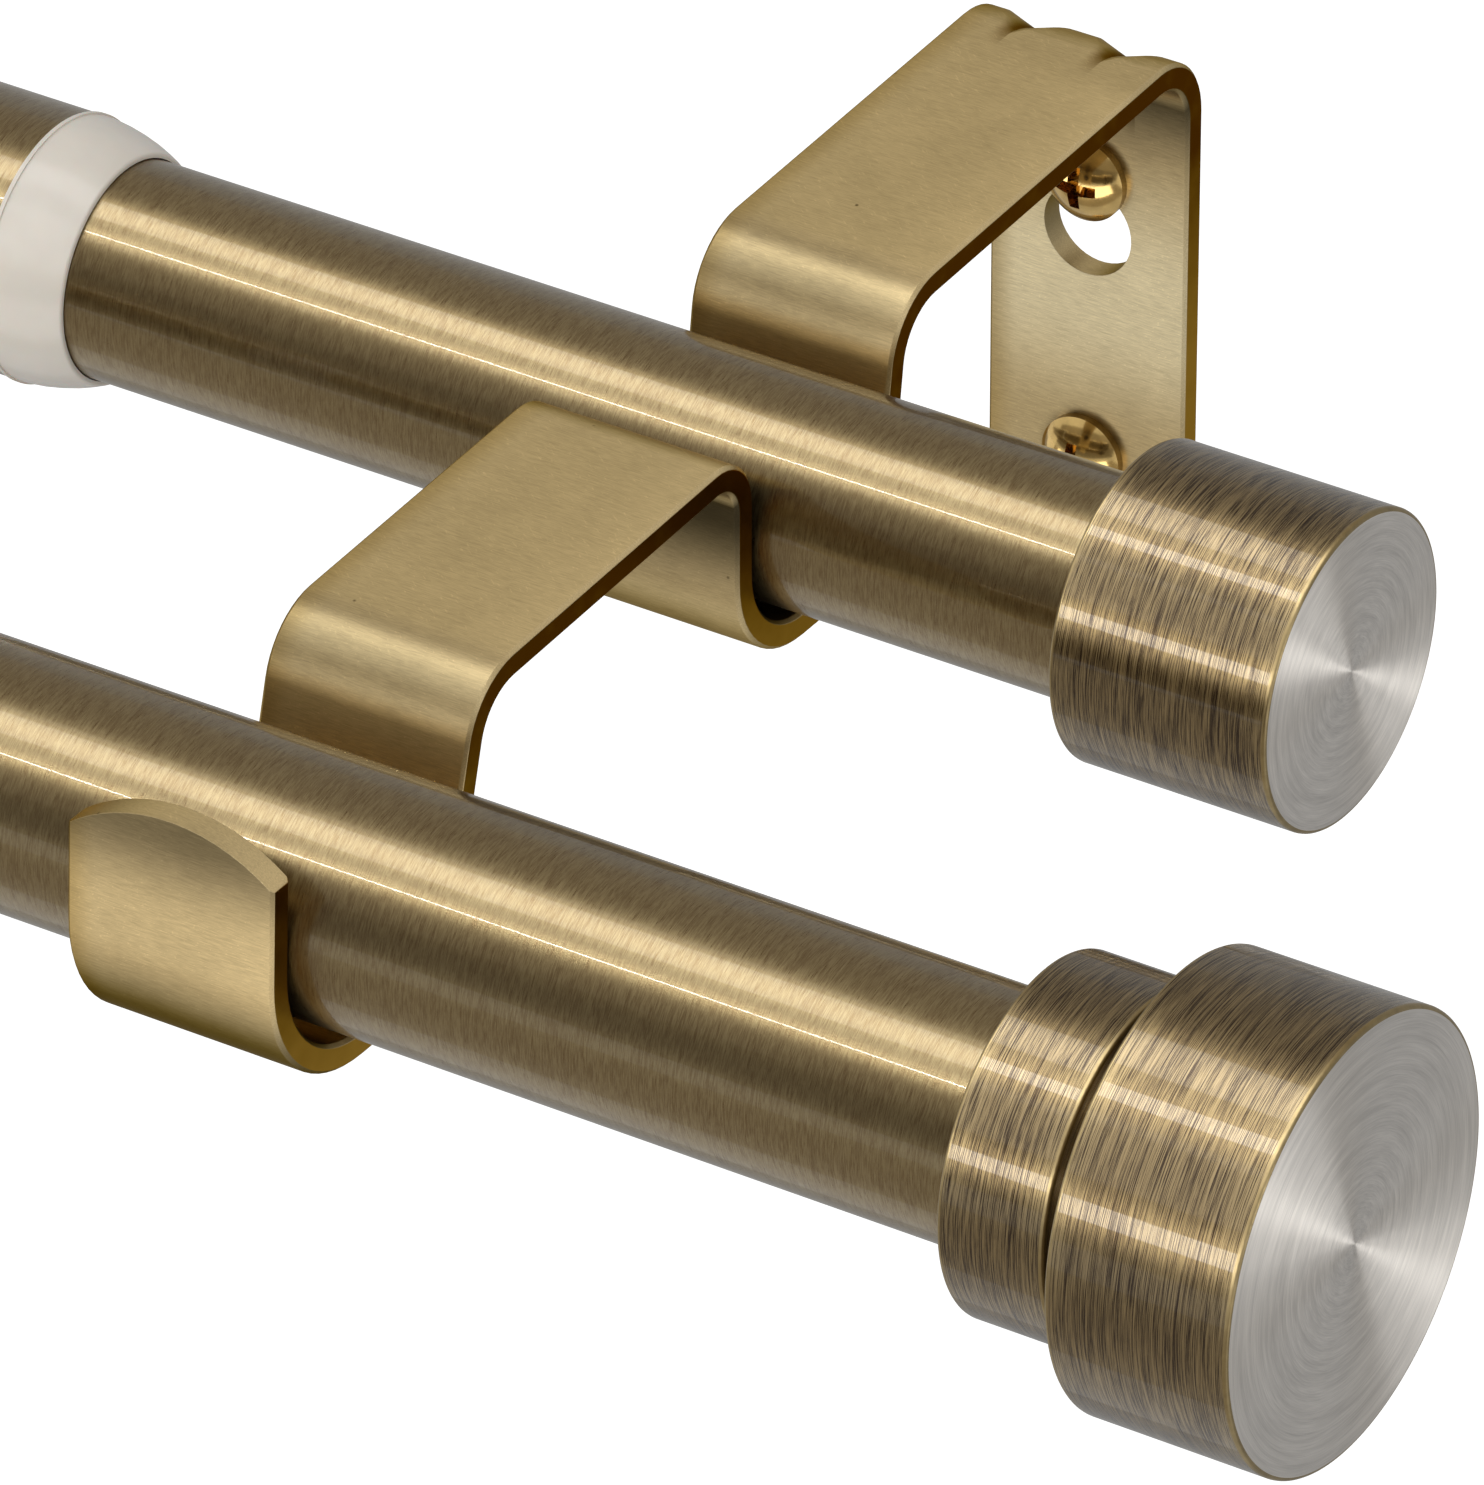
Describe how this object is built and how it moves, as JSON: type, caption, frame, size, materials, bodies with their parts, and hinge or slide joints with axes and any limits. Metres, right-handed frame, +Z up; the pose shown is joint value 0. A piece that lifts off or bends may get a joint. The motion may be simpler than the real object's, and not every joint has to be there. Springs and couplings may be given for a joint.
{
  "type": "double curtain pole",
  "caption": "Extendable double curtain pole: two telescopic round rods lying in bent-strip wall brackets, with a stepped finial on the front rod and plain caps on the rear one.",
  "frame": {"origin": "centre of the four wall screws, on the wall plane that the bracket plates lie on", "axes": "+X along the rods towards the extending end, +Y into the wall, +Z up"},
  "size_m": [0.7998, 0.1892, 0.0704],
  "materials": {
    "brushed_tube": "antique brass plating, brushed round the tube, satin",
    "bracket_plating": "antique brass plating, satin",
    "turned_end": "antique brass plating over turned metal, brushed",
    "ivory_plastic": "smooth, glossy",
    "plug_plastic": "moulded, satin",
    "brass_screw": "brass plated, polished",
    "dark_screw": "antique brass plating, satin"
  },
  "bodies": {
    "wall_fixed": {"right_bracket": "bracket_plating", "right_wall_screws": "brass_screw", "right_clamp_screws": "dark_screw", "left_bracket": "bracket_plating", "left_wall_screws": "brass_screw", "left_clamp_screws": "dark_screw", "front_outer_tube": "brushed_tube", "front_collar": "ivory_plastic", "front_left_finial": "turned_end", "front_left_grub_screw": "dark_screw", "rear_outer_tube": "brushed_tube", "rear_collar": "ivory_plastic", "rear_left_cap": "turned_end", "rear_left_grub_screw": "dark_screw"},
    "front_extension": {"front_inner_tube": "brushed_tube", "front_guide_plug": "plug_plastic", "front_right_finial": "turned_end", "front_right_grub_screw": "dark_screw"},
    "rear_extension": {"rear_inner_tube": "brushed_tube", "rear_guide_plug": "plug_plastic", "rear_right_cap": "turned_end", "rear_right_grub_screw": "dark_screw"}
  },
  "joints": [
    {"name": "front_slide", "type": "slide", "parent": "wall_fixed", "child": "front_extension", "axis": [1, 0, 0], "range_m": [-0.071, 0.34]},
    {"name": "rear_slide", "type": "slide", "parent": "wall_fixed", "child": "rear_extension", "axis": [1, 0, 0], "range_m": [-0.033, 0.34]}
  ]
}
